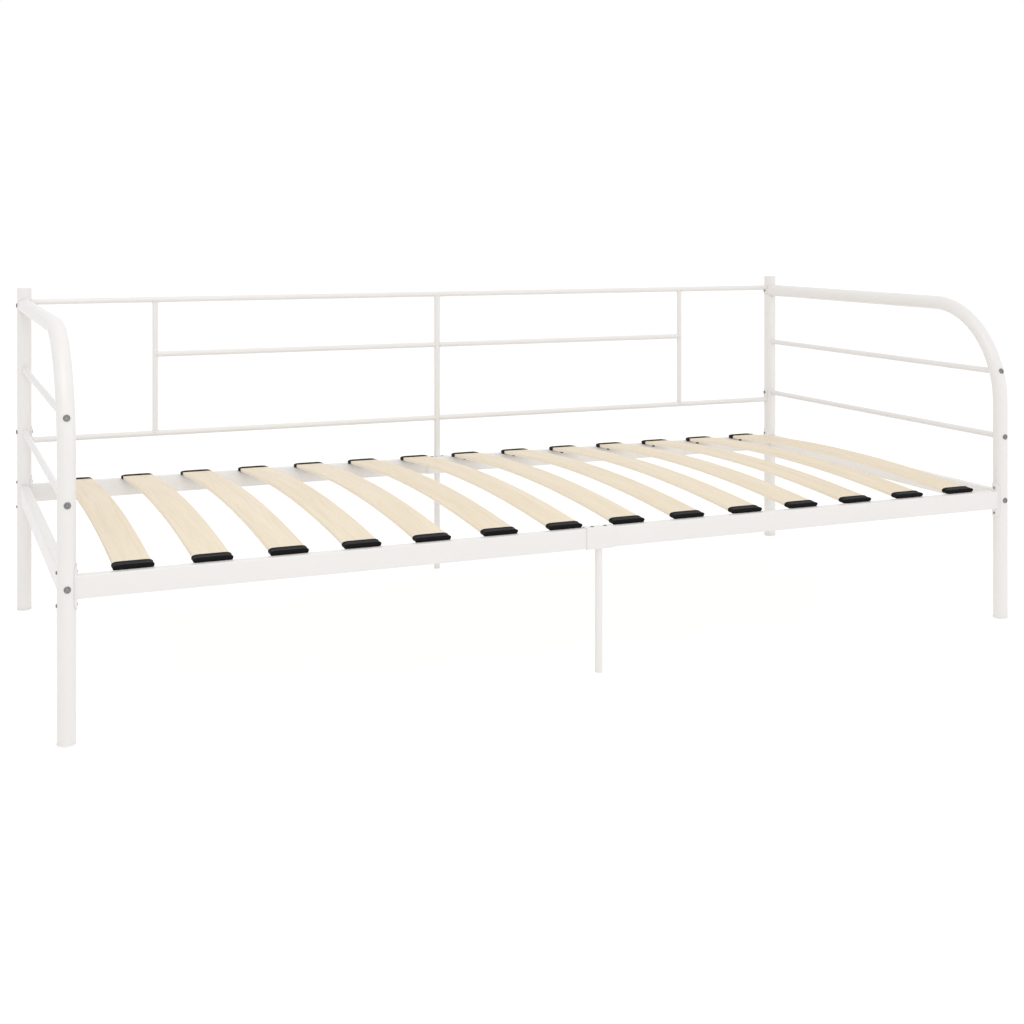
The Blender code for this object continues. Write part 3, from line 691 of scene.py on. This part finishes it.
def add_backrest_lugs(bm, end):
    """The lugs that hug one post, cut clear of the arm, and the beads of the rods on them."""
    plates = bmesh.new()
    for z_span in LUG_Z_SPANS:
        hugging_plate(plates, end, 1, LUG_HALF_W, z_span, LUG_T, LUG_CORNER)
    bm.from_mesh(carved(mesh_of(plates), arm_mesh(end, COPE_GAP, 0)))
    for height in (TOP_ROD_Z, LOWER_ROD_Z):
        ring = circle(Vector((0, BACK_Y, height)), Y, Z, ROD_R + BEAD_LIFT, sides=44)
        line = [onto_plate(point, end, 1, LUG_T) for point in ring]
        bead(bm, line, LUG_BEAD_R, seed=end * height * 9)


def make_backrest():
    bm = bmesh.new()
    add_backrest_rods(bm)
    add_backrest_beads(bm)
    for end, _ in ENDS:
        add_backrest_lugs(bm, end)
    place("backrest_frame", mesh_of(bm), WHITE, ["backrest"])


# ---------------------------------------------------------------- fasteners and plugs

def dome_turns():
    """The angles of a quarter turn, in radians, that a domed head is drawn at."""
    return [math.pi / 2 * part / DOME_STEPS for part in range(1, DOME_STEPS + 1)]


def socket_head(bm, origin, axis, radius, height, key):
    """A low domed round head; key is the width across flats of its hexagon socket."""
    flat_share, band_share = 0.66, 0.45       # of the radius and of the height
    mouth_share, rim_level, floor_level = 0.62, 0.97, -0.10
    under, under_share = 0.0005, 0.98
    u, v = across(axis)
    rings = [circle(origin - axis * under, u, v, radius * under_share, ROUND_SIDES)]
    rings.append(circle(origin, u, v, radius, ROUND_SIDES))
    for turn in dome_turns():
        spread = radius * (flat_share + (1 - flat_share) * math.cos(turn))
        rise = height * (band_share + (1 - band_share) * math.sin(turn))
        rings.append(circle(origin + axis * rise, u, v, spread, ROUND_SIDES))
    rings.append(circle(origin + axis * height, u, v, key * mouth_share, ROUND_SIDES))
    for level in (rim_level, floor_level):
        rings.append(hexagon(origin + axis * height * level, u, v, key, ROUND_SIDES))
    loft(bm, rings)


def dome_nut(bm, origin, axis, across_flats, height):
    """A hexagon nut with a domed crown."""
    tip_share = 0.12                          # of the radius
    side_share, flank_share = 0.5, 0.55       # of the height
    under = 0.0004
    u, v = across(axis)
    rings = [hexagon(origin - axis * under, u, v, across_flats, ROUND_SIDES)]
    rings.append(hexagon(origin + axis * height * side_share, u, v, across_flats, ROUND_SIDES))
    for turn in dome_turns():
        spread = across_flats / 2 * (tip_share + (1 - tip_share) * math.cos(turn))
        rise = height * (flank_share + (1 - flank_share) * math.sin(turn))
        rings.append(circle(origin + axis * rise, u, v, spread, ROUND_SIDES))
    loft(bm, rings)


def make_leg_bolts(end, name):
    """The large socket heads on the front leg that hold the side rods and the end beam."""
    bm = bmesh.new()
    face_y = FRONT_Y - TUBE_R + LEG_BOLT_SINK
    for height in (BEAM_BOLT_Z, ROD_Z["lower"]):
        socket_head(bm, Vector((end * END_X, face_y, height)), -Y, *LEG_BOLT)
    rise = ROD_Z["upper"] + UPPER_BOLT_RISE - BEND_Z
    turn = math.asin(rise / (BEND_R + TUBE_R))
    out = -Y * math.cos(turn) + Z * math.sin(turn)
    centre = Vector((end * END_X, BEND_Y, BEND_Z))
    socket_head(bm, centre + out * (BEND_R + TUBE_R - LEG_BOLT_SINK), out, *LEG_BOLT)
    place(f"{name}_leg_bolts", mesh_of(bm), ZINC)


def make_beam_back_bolt(end, name):
    bm = bmesh.new()
    face_y = BACK_Y + TUBE_R - LEG_BOLT_SINK
    socket_head(bm, Vector((end * END_X, face_y, BEAM_BOLT_Z)), Y, *LEG_BOLT)
    place(f"{name}_beam_back_bolt", mesh_of(bm), ZINC)


def make_cross_bolts(end, name):
    """The bolts through the posts and legs along X: backrest lugs above, rail plates below."""
    bm = bmesh.new()
    out = X * end
    head_x = end * (END_X + TUBE_R - POST_BOLT_SINK)
    nut_x = end * (END_X + TUBE_R - PLATE_NUT_SINK)
    lug_x = end * (END_X - HUG_R - LUG_T)
    plate_x = end * (END_X - HUG_R - PLATE_T)
    for height in (ARM_Z, ROD_Z["lower"]):
        socket_head(bm, Vector((head_x, BACK_Y, height)), out, *POST_BOLT)
        socket_head(bm, Vector((lug_x, BACK_Y, height)), -out, *POST_BOLT_INNER_END)
    for y in (FRONT_Y, BACK_Y):
        for height in PLATE_BOLT_Z:
            dome_nut(bm, Vector((nut_x, y, height)), out, *PLATE_NUT)
            socket_head(bm, Vector((plate_x, y, height)), -out, *PLATE_BOLT_INNER_END)
    place(f"{name}_cross_bolts", mesh_of(bm), ZINC)


def make_sleeve_screws(side, name):
    bm = bmesh.new()
    for x in (-SLEEVE_SCREW_X, SLEEVE_SCREW_X):
        seat = Vector((x, side * BACK_Y, SLEEVE_TOP - SLEEVE_SCREW_SINK))
        socket_head(bm, seat, Z, *SLEEVE_SCREW)
    place(f"{name}_sleeve_screws", mesh_of(bm), ZINC)


def make_foot(name, x, y, radius, flange):
    """A foot plug: a rounded flange under the tube end and the start of its spigot."""
    profile = [
        (0.0, radius * 0.86),
        (0.0004, radius * 0.95),
        (0.0012, radius),
        (flange - 0.0007, radius),
        (flange - 0.0002, radius - 0.0004),
        (flange - 0.0001, radius * 0.90),
        (flange + 0.008, radius * 0.88),
    ]
    bm = bmesh.new()
    turned(bm, Vector((x, y, 0)), Z, profile)
    place(name, mesh_of(bm), PLUG)


def make_post_plug(end, name):
    """The flush plug in the top of the back post, with a shallow dome."""
    radius = TUBE_R - POST_PLUG_INSET
    profile = [
        (-0.010, radius * 0.9),
        (-0.0014, radius * 0.9),
        (-0.0012, radius),
        (-0.0008, radius),
        (-0.0005, radius * 0.96),
        (-0.00025, radius * 0.85),
        (-0.0001, radius * 0.6),
        (0.0, radius * 0.2),
    ]
    bm = bmesh.new()
    turned(bm, Vector((end * END_X, BACK_Y, POST_TOP)), Z, profile)
    place(f"{name}_post_plug", mesh_of(bm), PLUG)


# ---------------------------------------------------------------- slats and caps

def slat_top(y):
    return SLAT_CROWN - SLAT_CURVE * y * y


def make_slat(number, node):
    """A bowed board with eased edges; its grain attribute holds flat coordinates for the wood."""
    bm = bmesh.new()
    grain = bm.verts.layers.float_vector.new("grain")
    x = middle(node).x
    stations = [SLAT_HALF * (2 * i / SLAT_STEPS - 1) for i in range(SLAT_STEPS + 1)]
    flat = rounded_rect(Vector(), X, Z, SLAT_W / 2, SLAT_T / 2, SLAT_EDGE, steps=3)
    rings = []
    for y in stations:
        slope = math.atan(-2 * SLAT_CURVE * y)
        up = Vector((0, -math.sin(slope), math.cos(slope)))
        centre = Vector((x, y, slat_top(y))) - up * (SLAT_T / 2)
        rings.append([centre + X * p.x + up * p.z for p in flat])
    loft(bm, rings)
    for i, vertex in enumerate(bm.verts):
        at = flat[i % len(flat)]
        y = stations[i // len(flat)]
        vertex[grain] = (at.x + number * GRAIN_SHIFT_X, y + number * GRAIN_SHIFT_Y, at.z)
    place(f"{node}_board", mesh_of(bm), BIRCH, [node])


def cap_section(y, centre_z, half_w, half_t):
    """The cap's outline across the slat at one place along it: a flattened oval."""
    points = []
    for i in range(CAP_POINTS):
        turn = 2 * math.pi * i / CAP_POINTS
        cosine, sine = math.cos(turn), math.sin(turn)
        a = math.copysign(abs(cosine) ** CAP_WIDE_POWER, cosine) * half_w
        b = math.copysign(abs(sine) ** CAP_TALL_POWER, sine) * half_t
        points.append(Vector((a, y, centre_z + b)))
    return points


def cap_shell(slat_end):
    """The cap's outside: a raised rim at the mouth, an oval body, and a ledge with a rounded tip."""
    rim = ((0, 0.0004), (0.0002, 0.0001), (0.0006, 0), (0.0020, 0), (0.0024, CAP_INSET))
    stations = [(CAP_MOUTH_Y + ahead, inset) for ahead, inset in rim]
    stations.append((CAP_MOUTH_Y + 0.0060, CAP_INSET))
    stations.append((CAP_SHOULDER_Y, CAP_INSET))
    rings = []
    for y, inset in stations:
        centre_z = slat_end.z + SLAT_END_SLOPE * (y - slat_end.y)
        rings.append(cap_section(y, centre_z, CAP_HALF_W - inset, CAP_HALF_T - inset))
    after_shoulder = CAP_SHOULDER_Y + 0.00005     # the step up to the ledge is nearly square
    ledge_z = RAIL_TOP + FIT + LEDGE_HALF_T
    for i in range(CAP_TIP_STEPS + 1):
        turn = math.pi / 2 * i / CAP_TIP_STEPS
        y = CAP_TIP_Y - CAP_TIP_CORNER * (1 - math.sin(turn))
        over = max(0.0, CAP_TIP_LIP - (CAP_TIP_Y - y))
        thin = CAP_TIP_LIP - math.sqrt(CAP_TIP_LIP * CAP_TIP_LIP - over * over)
        half_w = CAP_HALF_W - CAP_INSET - CAP_TIP_CORNER * (1 - math.cos(turn))
        rings.append(cap_section(max(y, after_shoulder), ledge_z, half_w, LEDGE_HALF_T - thin))
    bm = bmesh.new()
    loft(bm, rings)
    return mesh_of(bm)


def cap_pocket(slat_end, up, along):
    """The space in the cap that takes the end of the slat."""
    half_w, half_t = SLAT_W / 2 + FIT, SLAT_T / 2 + POCKET_GAP
    bm = bmesh.new()
    loft(bm, [rounded_rect(slat_end + along * d, X, up, half_w, half_t, POCKET_CORNER, steps=4)
              for d in (-POCKET_REACH, POCKET_DEEPER)])
    return mesh_of(bm)


def cap_mesh():
    """One slat cap at the back rail, centred on X: a shell with a pocket, a ledge, a boss and a peg."""
    slope = math.atan(SLAT_END_SLOPE)
    up = Vector((0, -math.sin(slope), math.cos(slope)))
    along = Vector((0, math.cos(slope), math.sin(slope)))
    slat_end = Vector((0, SLAT_HALF, slat_top(SLAT_HALF))) - up * (SLAT_T / 2)
    bm = bmesh.new()
    bm.from_mesh(carved(cap_shell(slat_end), cap_pocket(slat_end, up, along)))
    boss = ((BOSS_LENGTH, BOSS_CHAMFER), (BOSS_LENGTH - BOSS_CHAMFER, 0.0), (0.0, 0.0))
    rings = []
    for back, inset in boss:
        centre = Vector((0, CAP_SHOULDER_Y - back, PEG_Z))
        half_w, half_h = BOSS_HALF_W - inset, BOSS_HALF_H - inset
        rings.append(rounded_rect(centre, X, Z, half_w, half_h, BOSS_CORNER, steps=4))
    loft(bm, rings)
    peg = [(0, PEG_R), (PEG_LENGTH - PEG_CHAMFER, PEG_R), (PEG_LENGTH, PEG_R * 0.8)]
    turned(bm, Vector((0, CAP_SHOULDER_Y - PEG_ROOT, PEG_Z)), Y, peg, PEG_SIDES)
    return mesh_of(bm)


def make_caps():
    base = cap_mesh()
    for name, turn in (("back", 0.0), ("front", math.pi)):
        for number, node in enumerate(SLATS, start=1):
            mesh = base.copy()
            mesh.transform(Matrix.Translation((middle(node).x, 0, 0)) @ Matrix.Rotation(turn, 4, "Z"))
            cap = f"{name}_slat_cap_{number:02d}"
            place(f"{cap}_shell", mesh, BLACK, [cap], sharp=35)
    bpy.data.meshes.remove(base)


# ---------------------------------------------------------------- the daybed

def make_daybed():
    for end, end_name in ENDS:
        make_end_frame(end, end_name)
        make_leg_bolts(end, end_name)
        make_beam_back_bolt(end, end_name)
        make_cross_bolts(end, end_name)
        make_post_plug(end, end_name)
        for side, side_name in SIDES:
            foot = f"{end_name}_{side_name}_foot_plug"
            make_foot(foot, end * END_X, side * BACK_Y, TUBE_R + FOOT_OVERHANG, FOOT_FLANGE)
    for side, side_name in SIDES:
        make_centre_support(f"{side_name}_centre_leg_and_sleeve", side)
        make_sleeve_screws(side, side_name)
        foot_r = CENTRE_R + CENTRE_FOOT_OVERHANG
        make_foot(f"{side_name}_centre_foot_plug", 0.0, side * BACK_Y, foot_r, CENTRE_FOOT_FLANGE)
        for end, end_name in ENDS:
            make_rail(f"{side_name}_{end_name}_bed_rail", end, side)
    make_backrest()
    for number, node in enumerate(SLATS):
        make_slat(number, node)
    make_caps()


make_daybed()


# ---------------------------------------------------------------- floor, light and camera

def make_floor(glow):
    """A pale floor; glow lifts it to the white of the surround."""
    half_size = 60.0
    darker, lighter, white = (0.49, 0.49, 0.49, 1), (0.51, 0.51, 0.51, 1), (1, 1, 1, 1)
    bm = bmesh.new()
    bmesh.ops.create_grid(bm, x_segments=1, y_segments=1, size=half_size)
    mesh = bpy.data.meshes.new("floor")
    bm.to_mesh(mesh)
    bm.free()
    material, tree, shader = new_material("pale_floor", 0.9)
    patches = speckle(tree, object_place(tree), scale=0.7, detail=3.0)
    connect(tree, shader, Base_Color=blend_colour(tree, patches, darker, lighter))
    shader.inputs["Specular IOR Level"].default_value = 0.1
    shader.inputs["Emission Color"].default_value = white
    shader.inputs["Emission Strength"].default_value = glow
    mesh.materials.append(material)
    floor = bpy.data.objects.new("floor", mesh)
    bpy.context.scene.collection.objects.link(floor)


def make_softbox(name, place_at, target, size, energy):
    light = bpy.data.lights.new(name, "AREA")
    light.shape = "SQUARE"
    light.size = size
    light.energy = energy
    lamp = bpy.data.objects.new(name, light)
    lamp.location = place_at
    lamp.rotation_euler = (Vector(target) - Vector(place_at)).to_track_quat("-Z", "Y").to_euler()
    bpy.context.scene.collection.objects.link(lamp)


def make_world(left_level):
    """A surround that is white to the camera, and lights the bed a little less from its left end."""
    world = bpy.data.worlds.new("studio")
    world.use_nodes = True
    tree = world.node_tree
    direction = add(tree, "ShaderNodeTexCoord").outputs["Generated"]
    along_x = add(tree, "ShaderNodeSeparateXYZ", {"Vector": direction}).outputs["X"]
    level = remap(tree, along_x, (-1.0, 0.0), (left_level, 1.0))
    seen = add(tree, "ShaderNodeLightPath").outputs["Is Camera Ray"]
    background = tree.nodes["Background"]
    background.inputs["Color"].default_value = (1, 1, 1, 1)
    tree.links.new(arithmetic(tree, "MAXIMUM", level, seen), background.inputs["Strength"])
    bpy.context.scene.world = world


def make_camera(place_at, turn, lens, shift_y):
    """A level camera; turn is about Z from the view along +Y, lens is in mm, shift in frame widths."""
    data = bpy.data.cameras.new("camera")
    data.sensor_width = 36.0
    data.lens = lens
    data.shift_y = shift_y
    data.clip_end = 200.0
    camera = bpy.data.objects.new("camera", data)
    camera.location = place_at
    camera.rotation_euler = (math.pi / 2, 0, turn)
    bpy.context.scene.collection.objects.link(camera)
    bpy.context.scene.camera = camera


make_floor(glow=0.57)
make_world(left_level=0.77)
make_softbox("key", place_at=(-1.6, -1.8, 3.9), target=(0, 0, 0.3), size=2.5, energy=36.5)
make_softbox("fill", place_at=(4.0, -4.0, 1.3), target=(0, 0, 0.4), size=2.5, energy=13.5)
make_camera(place_at=(-1.2755, -3.0303, 0.8906), turn=-0.4018, lens=50.2309, shift_y=-0.279072)
bpy.context.scene.view_settings.view_transform = "Standard"
